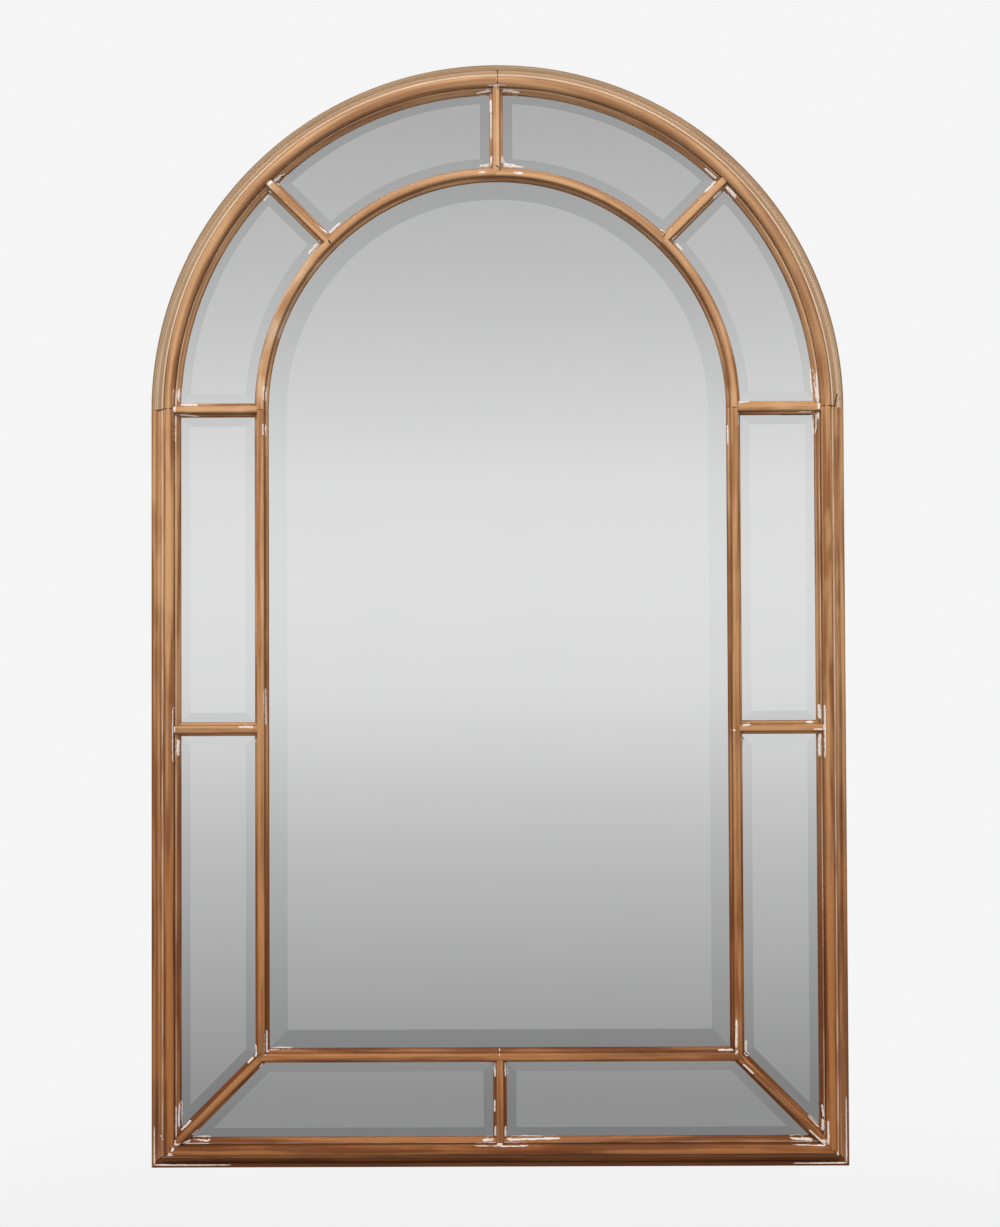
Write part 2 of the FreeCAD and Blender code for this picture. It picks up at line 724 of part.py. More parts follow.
def hanger_ring(label, side):
    """A D-ring of steel wire, its straight side in the knuckle, hanging down."""
    x = f"{side} * ({HALF_WIDTH} - Sizes.hanger_inset)"
    body = new_body(label, x=x, y=f"{FRAME_BACK} + {KNUCKLE_RADIUS}", z=KNUCKLE)
    bend = "Sizes.ring_bend"
    top = "(Sizes.strap_width / 2 + Sizes.ring_side_gap)"
    bow = f"({top} + {bend})"
    bow_centre = f"(Sizes.ring_reach + Sizes.ring_wire / 2 - {bow})"
    spine = new_sketch(body, "XZ_Plane")
    draw(
        spine,
        [
            (top, "0"),
            (bow, f"-{bend}", bend, -1),
            (bow, f"-{bow_centre}"),
            ("0", f"-({bow_centre} + {bow})", bow, -1),
            (f"-{bow}", f"-{bow_centre}", bow, -1),
            (f"-{bow}", f"-{bend}"),
            (f"-{top}", "0", bend, -1),
            ("0", "0"),
        ],
    )
    wire = new_sketch(body, "YZ_Plane")
    draw_circles(wire, [("0", "0")], "Sizes.ring_wire / 2")
    pipe = body.newObject("PartDesign::AdditivePipe", f"{label}_pipe")
    pipe.Profile = wire
    pipe.Spine = spine
    return body


# The frame and the inner ring of bars, which run through; the other bars butt on them.

frame_left = frame_stile("frame_stile_left", -1)
frame_right = frame_stile("frame_stile_right", 1)
frame_foot = frame_rail("frame_bottom_rail")
head_left = frame_arch("frame_arch_left", 180)
head_right = frame_arch("frame_arch_right", 90)
frame_parts = [frame_left, frame_right, frame_foot, head_left, head_right]

inner_corner = f"({HALF_WIDTH} - {INNER_EDGE})"
inner_height = f"({STRAIGHT} - {INNER_EDGE})"
inner_base = f"({BASE} + {INNER_EDGE})"
inner_width = f"(2 * {inner_corner})"

ARC_NAMES = ["lower_left", "upper_left", "upper_right", "lower_right"]
arcs = []
for index, name in enumerate(ARC_NAMES):
    start = 180 - index * SECTOR
    arcs.append(arc(f"inner_arch_{name}", bar_corners(), inner_corner, start, SECTOR))

inner_left = stick("inner_stile_left", bar_corners(), f"-{inner_corner}", inner_base, 0, inner_height)
mitre(inner_left, "Sizes.bar_width")
inner_right = stick("inner_stile_right", bar_corners(), inner_corner, SPRINGING, 180, inner_height)
mitre(inner_right, "Sizes.bar_width", inner_height)
inner_foot = stick("inner_bottom_bar", bar_corners(), inner_corner, inner_base, -90, inner_width)
mitre(inner_foot, "Sizes.bar_width")
mitre(inner_foot, "Sizes.bar_width", inner_width)
ring_parts = arcs + [inner_left, inner_right, inner_foot]

# Bars that butt: each runs from the ring's centre line into the side of the frame's torus.

border_span = f"(Sizes.border_spacing - {QUIRK} + Sizes.scribe_reach)"
spokes = [
    ("haunch_spoke_left", 135, [head_left] + arcs[:2]),
    ("crown_spoke", 90, [head_left, head_right] + arcs[1:3]),
    ("haunch_spoke_right", 45, [head_right] + arcs[2:]),
]
bars = []
for name, angle, neighbours in spokes:
    x, z = polar(INNER_RADIUS, angle)
    bars.append(scribed_bar(name, x, f"{SPRINGING} + {z}", 90 - angle, border_span, neighbours))

side_bar_z = f"{BASE} + Sizes.side_bar_height"
corner_z = f"{BASE} + Sizes.border_spacing"
corner_span = f"{border_span} * sqrt(2)"
sides = [
    ("left", -1, frame_left, inner_left, [head_left, arcs[0]]),
    ("right", 1, frame_right, inner_right, [head_right, arcs[3]]),
]
for name, side, stile, inner_stile, heads in sides:
    x = f"{side} * {INNER_RADIUS}"
    stiles, feet = [stile, inner_stile], [frame_foot, inner_foot]
    for kind, z, heading, span, neighbours in (
        ("springing_bar", SPRINGING, 90, border_span, stiles + heads),
        ("side_bar", side_bar_z, 90, border_span, stiles),
        ("corner_bar", corner_z, 135, corner_span, stiles + feet),
    ):
        bars.append(scribed_bar(f"{kind}_{name}", x, z, side * heading, span, neighbours))
bars.append(scribed_bar("bottom_centre_bar", "0", corner_z, 180, border_span, feet))

panes = [centre_pane(), bottom_pane("pane_bottom_left", -1), bottom_pane("pane_bottom_right", 1)]
for index, name in enumerate(ARC_NAMES):
    panes.append(arch_pane(f"pane_arch_{name}", 180 - (index + 1) * SECTOR))
for name, side in (("left", -1), ("right", 1)):
    panes.append(side_pane(f"pane_side_upper_{name}", side, upper=True))
    panes.append(side_pane(f"pane_side_lower_{name}", side, upper=False))

screw = wood_screw()
board_screws = [
    (x, f"{FRAME_BACK} - {BOARD_BACK}", f"{SPRINGING} + {z}") for x, z in backing_screw_sites()
]
fittings = [
    backing_board(),
    group("backing_screws", screw, board_screws),
    frame_dowels(),
    group("wall_bumpers", wall_bumper(), bumper_sites()),
]
for name, side in (("left", -1), ("right", 1)):
    fittings.append(hanger_plate(f"hanger_plate_{name}", side))
    fittings.append(hanger_ring(f"hanger_ring_{name}", side))
    x = f"{side} * ({HALF_WIDTH} - Sizes.hanger_inset)"
    on_strap = f"{FRAME_BACK} + Sizes.strap_thickness"
    strap_screws = [(x, on_strap, f"{KNUCKLE} - {below}") for below in STRAP_SCREWS]
    fittings.append(group(f"hanger_screws_{name}", screw, strap_screws))

doc.recompute()
for item in doc.Objects:
    if "Invalid" in item.State or "Error" in item.State:
        raise RuntimeError(f"{item.Label} did not build")

os.makedirs("parts", exist_ok=True)
sub_parts = frame_parts + ring_parts + bars + panes + fittings
for item in sub_parts:
    if item.Shape.isNull() or not item.Shape.isValid():
        raise RuntimeError(f"{item.Label} has no sound shape")
for item in sub_parts:
    item.Shape.exportStep(f"parts/{item.Label}.step")
    solids = len(item.Shape.Solids)
    print(f"{item.Label}: {solids} solid(s), {item.Shape.Volume / 1000:.2f} cm3")
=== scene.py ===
"""Looks for an arched window mirror: stained softwood frame and bars round bevelled mirror panes."""

import math

import bmesh
import bpy
from mathutils import Matrix, Vector, noise
from mathutils.bvhtree import BVHTree


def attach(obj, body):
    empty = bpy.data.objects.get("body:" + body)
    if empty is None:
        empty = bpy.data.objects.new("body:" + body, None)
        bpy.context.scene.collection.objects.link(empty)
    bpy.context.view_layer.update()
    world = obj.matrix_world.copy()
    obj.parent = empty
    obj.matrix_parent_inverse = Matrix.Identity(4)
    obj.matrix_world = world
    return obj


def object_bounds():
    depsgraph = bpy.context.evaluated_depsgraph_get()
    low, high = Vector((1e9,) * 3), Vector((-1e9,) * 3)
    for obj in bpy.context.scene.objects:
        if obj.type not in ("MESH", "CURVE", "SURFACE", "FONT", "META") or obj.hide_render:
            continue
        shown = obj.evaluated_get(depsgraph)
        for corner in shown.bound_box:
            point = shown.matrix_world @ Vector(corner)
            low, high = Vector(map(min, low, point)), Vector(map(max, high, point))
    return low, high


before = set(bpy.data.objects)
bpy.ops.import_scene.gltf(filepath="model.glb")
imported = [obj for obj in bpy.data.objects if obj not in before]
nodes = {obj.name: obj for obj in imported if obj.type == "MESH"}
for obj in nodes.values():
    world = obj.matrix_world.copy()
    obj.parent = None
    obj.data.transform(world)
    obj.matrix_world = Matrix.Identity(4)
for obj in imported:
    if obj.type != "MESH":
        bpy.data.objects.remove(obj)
cad_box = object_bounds()


# ---- Outer frame -----------------------------------------------------------------------------------
# The outer frame is one moulding run in stained and waxed softwood: two stiles, a bottom rail mitred to
# them and a half-round head sawn in two quarters. Wax has gone dark in the quirk. Shade is painted in as
# dark bands at the outer edge, at the torus's outer foot and over the inner bead. It is darkest over the
# rail's cove and outer bead, which face down, where some grime adds to it. The two fillets are rubbed
# pale, the arch's outer one also painted lighter to lift the shade where its cove meets the outer bead,
# and the back was left bare.


class Shade:
    """A socket in a material's node tree. Arithmetic on it adds Math nodes, and node() adds any other."""

    def __init__(self, tree, socket=None):
        self.tree = tree
        self.socket = socket

    def node(self, kind, settings=None, inputs=None, output=0):
        made = self.tree.nodes.new(kind)
        for name, value in (settings or {}).items():
            if name == "stops":
                elements = made.color_ramp.elements
                elements.remove(elements[1])
                elements[0].position, elements[0].color = value[0]
                for position, colour in value[1:]:
                    elements.new(position).color = colour
            else:
                setattr(made, name, value)
        for name, value in (inputs or {}).items():
            if isinstance(value, Shade):
                self.tree.links.new(value.socket, made.inputs[name])
            else:
                made.inputs[name].default_value = value
        return Shade(self.tree, made.outputs[output])

    def output(self, name):
        return Shade(self.tree, self.socket.node.outputs[name])

    def math(self, operation, *others):
        return self.node("ShaderNodeMath", {"operation": operation}, dict(enumerate((self, *others))))

    def __add__(self, other):
        return self.math("ADD", other)

    __radd__ = __add__

    def __mul__(self, other):
        return self.math("MULTIPLY", other)

    __rmul__ = __mul__

    def __sub__(self, other):
        return self.math("SUBTRACT", other)

    def __rsub__(self, other):
        return self * -1 + other

    def __truediv__(self, other):
        return self.math("DIVIDE", other)

    def __abs__(self):
        return self.math("ABSOLUTE")

    def ramp(self, low, high, start=0.0, end=1.0):
        """start below low, end above high, and a smooth slope between."""
        values = {"Value": self, 1: low, 2: high, 3: start, 4: end}
        return self.node("ShaderNodeMapRange", {"interpolation_type": "SMOOTHSTEP"}, values)

    def noise(self, *scales, detail=3.0, offset=0.0):
        """Noise of this point, stretched by one scale for each axis."""
        settings = {"operation": "MULTIPLY_ADD"}
        stretched = self.node("ShaderNodeVectorMath", settings, {0: self, 1: scales, 2: (offset,) * 3})
        values = {"Vector": stretched, "Scale": 1.0, "Detail": detail, "Roughness": 0.55}
        return self.node("ShaderNodeTexNoise", None, values)

    def blend(self, low, high):
        """The colour low where this value is 0, the colour high where it is 1, and a mixture between."""
        return self.node("ShaderNodeMix", {"data_type": "RGBA"}, {0: self, 6: low, 7: high}, 2)

    def tint(self, colour, amount):
        """This colour moved towards another by amount."""
        return amount.blend(self, colour)


def linear(value):
    """One channel as a screen gives it, from 0 to 255, in the renderer's own linear scale."""
    share = value / 255
    return share / 12.92 if value < 10.4 else ((share + 0.055) / 1.055) ** 2.4


def paint(red, green, blue):
    return (linear(red), linear(green), linear(blue), 1)


def finish(name, colour, roughness, bump=None, bump_height=0.0, normal=None, **constants):
    """A material from functions that make each varying input out of the surface's own point."""
    material = bpy.data.materials.new(name)
    material.use_nodes = True
    tree = material.node_tree
    shader = tree.nodes["Principled BSDF"]
    point = Shade(tree).node("ShaderNodeTexCoord", output="Object")
    for socket, maker in (("Base Color", colour), ("Roughness", roughness), ("Normal", normal)):
        if callable(maker):
            tree.links.new(maker(point).socket, shader.inputs[socket])
        elif maker is not None:
            shader.inputs[socket].default_value = maker
    if bump:
        inputs = {"Height": bump(point), "Strength": 1.0, "Distance": bump_height}
        raised = point.node("ShaderNodeBump", None, inputs)
        tree.links.new(raised.socket, shader.inputs["Normal"])
    for socket, value in constants.items():
        shader.inputs[socket].default_value = value
    return material


def dress(material, *names):
    for name in names:
        mesh = nodes[name].data
        mesh.materials.clear()
        mesh.materials.append(material)


# The frame's half width, the level of the arch's centre, the lower edge, the depth at which the stain ends,
# and the radius at which the arch's grain is as long as on the straight members.
HALF_WIDTH = 0.384
SPRINGING = 0.060
BASE = -0.776
BARE_FROM = -0.0075
ARCH_GRAIN_RADIUS = 0.35


def level(point):
    """Along, across and depth of a level member."""
    split = point.node("ShaderNodeSeparateXYZ", None, {0: point})
    return split.output("X"), split.output("Z"), split.output("Y")


def upright(point):
    """Along, across and depth of an upright member."""
    along, across, depth = level(point)
    return across, along, depth


def curved(point):
    """Along, across and depth of a curved member, round the arch and out from its centre."""
    x, z, depth = level(point)
    rise = z - SPRINGING
    radius = (x * x + rise * rise).math("SQRT")
    return x.math("ARCTAN2", rise) * ARCH_GRAIN_RADIUS, radius, depth


def grain_of(point, lie):
    """The point as it lies in the member's own grain, and its place across the member and in depth."""
    along, across, depth = lie(point)
    return point.node("ShaderNodeCombineXYZ", None, {"X": along, "Y": across, "Z": depth}), across, depth


BROWN = paint(148, 98, 58)
GOLDEN = paint(204, 156, 110)
RED_BROWN = paint(136, 80, 42)
# Tones of the painted shade that darkens the lower half of the mirror.
PAINTED_SHADE_BROWN = paint(114, 60, 26)
PAINTED_SHADE_GOLDEN = paint(168, 106, 58)
GREYED = paint(164, 140, 110)
# Painted sheen: the paler, greyer tone the arch is muted towards.
PAINTED_SHEEN_MUTED = paint(188, 150, 116)
# Dark wax in the quirks, and painted shade at the mouldings' shaded edges and hollows.
DARK_WAX_AND_PAINTED_SHADE = paint(88, 48, 24)
RUBBED = paint(236, 212, 188)
BARE_DARK = paint(188, 154, 110)
BARE_PALE = paint(214, 186, 144)
WAX_GLOSS = 0.16

# Heights between which the painted shade of the lower half, the painted sheen's muted tone and the pale lift
# come in, and the places across the moulding between which the grey of its outer members ends.
LOWER_HALF = (-0.10, -0.60)
ROUND_THE_ARCH = (0.02, 0.24)
LIFT_FADES = (-0.5, 0.0)
OUTER_MOULDING = (0.0135, 0.0115)


def wood_colour(lie, face, seed, golden, bands, greyed, lifted):
    """Stained softwood whose grain runs along the member. face gives the place across the moulding, and each
    band on it is (centre, half width, soft edge, colour, strength, how much it is worn away in places)."""

    def colour(point):
        grain, across, depth = grain_of(point, lie)
        streak = grain.noise(3.0, 120, 120, detail=1, offset=seed)
        fine = grain.noise(9, 230, 230, detail=0, offset=seed + 3)
        patch = grain.noise(13, 30, 30, detail=2, offset=seed + 7)
        shade = streak * 0.62 + fine * 0.38
        base = shade.ramp(0.41, 0.59).blend(BROWN, GOLDEN)
        base = base.tint(RED_BROWN, patch.ramp(0.46, 0.72) * (1 - golden) * 0.85)
        base = base.tint(GOLDEN, patch.ramp(0.56, 0.34) * golden * 0.75)
        height = point.node("ShaderNodeSeparateXYZ", None, {0: point}).output("Z")
        # Painted shade: towards the bottom the wood darkens to these tones, as if less lit by the lamp above.
        painted_low_shade = (shade * 0.7 + patch * 0.3).ramp(0.42, 0.58).blend(PAINTED_SHADE_BROWN, PAINTED_SHADE_GOLDEN)
        base = base.tint(painted_low_shade, height.ramp(*LOWER_HALF) * 0.92)
        # Painted sheen: over the arch the colour is muted towards a paler, greyer tone, as the wax's sheen
        # would leave it.
        base = base.tint(PAINTED_SHEEN_MUTED, height.ramp(*ROUND_THE_ARCH) * 0.30)
        base = base.tint(RUBBED, patch.ramp(0.52, 0.30) * height.ramp(*LIFT_FADES) * lifted)
        place = face(across)
        if greyed:
            streaked = streak.ramp(0.35, 0.6) * 0.4 + 0.6
            base = base.tint(GREYED, place.ramp(*OUTER_MOULDING) * streaked * greyed)
        worn = grain.noise(22, 180, 180, detail=0, offset=seed + 11).ramp(0.36, 0.60)
        for centre, half, soft, tone, strength, wear in bands:
            mask = abs(place - centre).ramp(half + soft, half)
            base = base.tint(tone, mask * (1 - wear + wear * worn) * strength)
        bare = shade.ramp(0.40, 0.62).blend(BARE_DARK, BARE_PALE)
        return base.tint(bare, depth.ramp(BARE_FROM - 0.0008, BARE_FROM))

    return colour


def wood_sheen(lie, seed):
    def roughness(point):
        return grain_of(point, lie)[0].noise(20, 160, 160, detail=0, offset=seed).ramp(0.3, 0.7, 0.48, 0.66)

    return roughness


def wood_bump(lie, seed):
    def height(point):
        return grain_of(point, lie)[0].noise(14, 150, 150, detail=0, offset=seed)

    return height


def stain_wood(name, lie, face, seed, golden, bands, greyed=0.0, lifted=0.0):
    stain = wood_colour(lie, face, seed, golden, bands, greyed, lifted)
    wood = finish(f"stained_wood_{name}", stain, wood_sheen(lie, seed), wood_bump(lie, seed), 0.00012,
                  **{"Specular IOR Level": WAX_GLOSS})
    dress(wood, name)


def from_edge(across):
    """Distance from the frame's outer edge on a stile or on the arch."""
    return HALF_WIDTH - abs(across)


def from_base(across):
    """Distance from the frame's lower edge on the rail."""
    return across - BASE


# Dark wax in the quirk, a pale line along the bead's edge, and painted shade over the inner bead.
quirk_bands = (
    (0.02675, 0.0004, 0.0006, DARK_WAX_AND_PAINTED_SHADE, 0.22, 0.0),
    (0.0278, 0.0003, 0.0005, RUBBED, 0.50, 0.6),
    (0.0298, 0.0006, 0.0009, DARK_WAX_AND_PAINTED_SHADE, 0.30, 0.2),
)
# On the stiles the dark bands at the outer edge and at the torus's outer foot are painted shade.
stile_bands = (
    (0.0012, 0.0005, 0.0007, DARK_WAX_AND_PAINTED_SHADE, 0.35, 0.3),
    (0.0084, 0.0003, 0.0006, RUBBED, 0.22, 0.7),
    (0.0131, 0.0006, 0.0006, RUBBED, 0.55, 0.6),
    (0.0155, 0.0005, 0.0008, DARK_WAX_AND_PAINTED_SHADE, 0.25, 0.2),
) + quirk_bands
# On the rail the dark bands over the outer bead and the cove, which face down, are painted shade over some
# grime, and the one at the torus's foot is painted shade.
rail_bands = (
    (0.0020, 0.0028, 0.0012, DARK_WAX_AND_PAINTED_SHADE, 0.80, 0.0),
    (0.0085, 0.0036, 0.0016, DARK_WAX_AND_PAINTED_SHADE, 0.60, 0.0),
    (0.0131, 0.0004, 0.0005, RUBBED, 0.12, 0.5),
    (0.0155, 0.0006, 0.0012, DARK_WAX_AND_PAINTED_SHADE, 0.60, 0.0),
    (0.02675, 0.0004, 0.0006, DARK_WAX_AND_PAINTED_SHADE, 0.50, 0.0),
    (0.0279, 0.0005, 0.0006, RUBBED, 0.20, 0.7),
)
# On the arch the dark bands at the outer edge and at the torus's outer foot are painted shade.
arch_bands = (
    (0.0008, 0.0008, 0.0010, DARK_WAX_AND_PAINTED_SHADE, 0.45, 0.2),
    # This fillet is rubbed pale and also painted lighter, to lift the shade where the cove meets the outer
    # bead.
    (0.0056, 0.0008, 0.0006, RUBBED, 0.75, 0.2),
    (0.0134, 0.0006, 0.0006, RUBBED, 0.75, 0.2),
    (0.0155, 0.0005, 0.0009, DARK_WAX_AND_PAINTED_SHADE, 0.65, 0.1),
) + quirk_bands

for name, lie, face, seed, golden, bands, greyed in (
    ("frame_stile_left", upright, from_edge, 1.0, 0.35, stile_bands, 0.10),
    ("frame_stile_right", upright, from_edge, 2.3, 0.95, stile_bands, 0.25),
    ("frame_bottom_rail", level, from_base, 3.7, 0.45, rail_bands, 0.0),
    ("frame_arch_left", curved, from_edge, 4.9, 0.50, arch_bands, 0.85),
    ("frame_arch_right", curved, from_edge, 6.1, 0.60, arch_bands, 0.85),
):
    stain_wood(name, lie, face, seed, golden, bands, greyed)


# ---- Ring of bars round the centre pane ------------------------------------------------------------
# Two long bars, a bottom bar and four curved lengths make the ring, from the same softwood worked to a flat
# nose between two low shoulders. They are glued where they meet, and the stain on the nose is rubbed paler.
# Shade is painted dark along both sides of the nose and along the shoulders' outer edges.

RING = 0.262
BOTTOM_BAR = -0.654
# The nose is rubbed paler; the dark bands at the nose's sides and at the shoulders' outer edges are painted
# shade.
bar_bands = (
    (0.0000, 0.0030, 0.0014, GOLDEN, 0.25, 0.6),
    (0.0044, 0.0003, 0.0006, DARK_WAX_AND_PAINTED_SHADE, 0.55, 0.1),
    (0.0073, 0.0002, 0.0006, DARK_WAX_AND_PAINTED_SHADE, 0.40, 0.2),
)


def from_line(centre):
    """Distance from a bar's centre line."""
    return lambda across: abs(across - centre)


for name, lie, face, seed, golden, lifted in (
    ("inner_stile_left", upright, from_line(-RING), 8.2, 0.45, 0.05),
    ("inner_stile_right", upright, from_line(RING), 9.4, 0.40, 0.05),
    ("inner_bottom_bar", level, from_line(BOTTOM_BAR), 10.1, 0.65, 0.05),
    ("inner_arch_lower_left", curved, from_line(RING), 11.3, 0.45, 0.45),
    ("inner_arch_upper_left", curved, from_line(RING), 12.8, 0.25, 0.0),
    ("inner_arch_upper_right", curved, from_line(RING), 13.6, 0.25, 0.0),
    ("inner_arch_lower_right", curved, from_line(RING), 14.9, 0.40, 0.20),
):
    stain_wood(name, lie, face, seed, golden, bar_bands, lifted=lifted)


# ---- Bars between the ring and the frame -----------------------------------------------------------
# Short lengths of the same bar, cut to butt on the ring and on the frame's inner bead: spokes in the arch,
# level bars at the springing and halfway down, slanting ones in the bottom corners.

SIDE_BARS = -0.294


def slanting(x_start, z_start, heading):
    """Along, across and depth of a bar that leaves a point at heading degrees from level."""
    turn = math.radians(heading)

    def lie(point):
        x, z, depth = level(point)
        x, z = x - x_start, z - z_start
        return x * math.cos(turn) + z * math.sin(turn), z * math.cos(turn) - x * math.sin(turn), depth

    return lie


for name, lie, centre, seed, golden, lifted in (
    ("crown_spoke", upright, 0.0, 15.5, 0.95, 0.20),
    ("haunch_spoke_left", slanting(0, SPRINGING, 135), 0.0, 16.4, 0.95, 0.40),
    ("haunch_spoke_right", slanting(0, SPRINGING, 45), 0.0, 17.2, 0.20, 0.0),
    ("springing_bar_left", level, SPRINGING, 18.8, 0.90, 0.25),
    ("springing_bar_right", level, SPRINGING, 19.9, 0.70, 0.20),
    ("side_bar_left", level, SIDE_BARS, 21.1, 0.80, 0.10),
    ("side_bar_right", level, SIDE_BARS, 22.6, 0.80, 0.10),
    ("corner_bar_left", slanting(-RING, BOTTOM_BAR, 45), 0.0, 23.3, 0.55, 0.0),
    ("corner_bar_right", slanting(RING, BOTTOM_BAR, -45), 0.0, 28.3, 0.10, 0.0),
    ("bottom_centre_bar", upright, 0.0, 25.8, 0.60, 0.0),
):
    stain_wood(name, lie, from_line(centre), seed, golden, bar_bands, lifted=lifted)


# ---- Mirror panes ----------------------------------------------------------------------------------
# Eleven panes of 4 mm silvered glass with ground and polished bevels, bedded under the lips of the bars.
# The bevels would turn their reflection aside to darker parts of the room, most so high and low on the
# mirror; that darkening is a painted reflection in their colour, by height away from eye level, over a
# ground finish a little darker than the plate, and most of their own tilt is taken out of their shading.

PLATE_COOL = (0.868, 0.873, 0.871, 1)
PLATE_PLAIN = (0.880, 0.880, 0.880, 1)
# The bevels' own slightly darker ground finish, and the painted reflection that darkens it away from eye
# level.
BEVEL_AND_PAINTED_REFLECTION_PALE = (0.822, 0.828, 0.828, 1)
BEVEL_AND_PAINTED_REFLECTION_DARK = (0.662, 0.668, 0.672, 1)
PALEST_PAINTED_REFLECTION_HEIGHT = -0.13
BEVEL_FLATTENED = 0.88
TO_THE_FRONT = (0, -1, 0)


def bevel_mask(point):
    """The way the glass faces, and 1 on its bevels."""
    turned = point.node("ShaderNodeNewGeometry", output="Normal")
    across = point.node("ShaderNodeSeparateXYZ", None, {0: turned}).output("Y")
    return turned, (across + 1).ramp(0.0006, 0.0014) * across.ramp(-0.5, -0.6)


def silver_colour(point):
    bevel = bevel_mask(point)[1]
    plate = point.noise(9, 9, 9).ramp(0.3, 0.7).blend(PLATE_COOL, PLATE_PLAIN)
    height = point.node("ShaderNodeSeparateXYZ", None, {0: point}).output("Z")
    # Painted reflection: the bevels darken with height above and below eye level, over their own slightly
    # darker tone.
    bevel_and_painted_reflection = abs(height - PALEST_PAINTED_REFLECTION_HEIGHT).ramp(0.05, 0.62).blend(BEVEL_AND_PAINTED_REFLECTION_PALE, BEVEL_AND_PAINTED_REFLECTION_DARK)
    return plate.tint(bevel_and_painted_reflection, bevel)


def silver_normal(point):
    turned, bevel = bevel_mask(point)
    inputs = {0: bevel * BEVEL_FLATTENED, 4: turned, 5: TO_THE_FRONT}
    leaned = point.node("ShaderNodeMix", {"data_type": "VECTOR"}, inputs, 1)
    return point.node("ShaderNodeVectorMath", {"operation": "NORMALIZE"}, {0: leaned})


silver = finish("silvered_glass", silver_colour,
                lambda point: point.noise(30, 30, 30).ramp(0.3, 0.7, 0.012, 0.028),
                normal=silver_normal, Metallic=1.0)
dress(silver, *(name for name in nodes if name.startswith("pane_")))
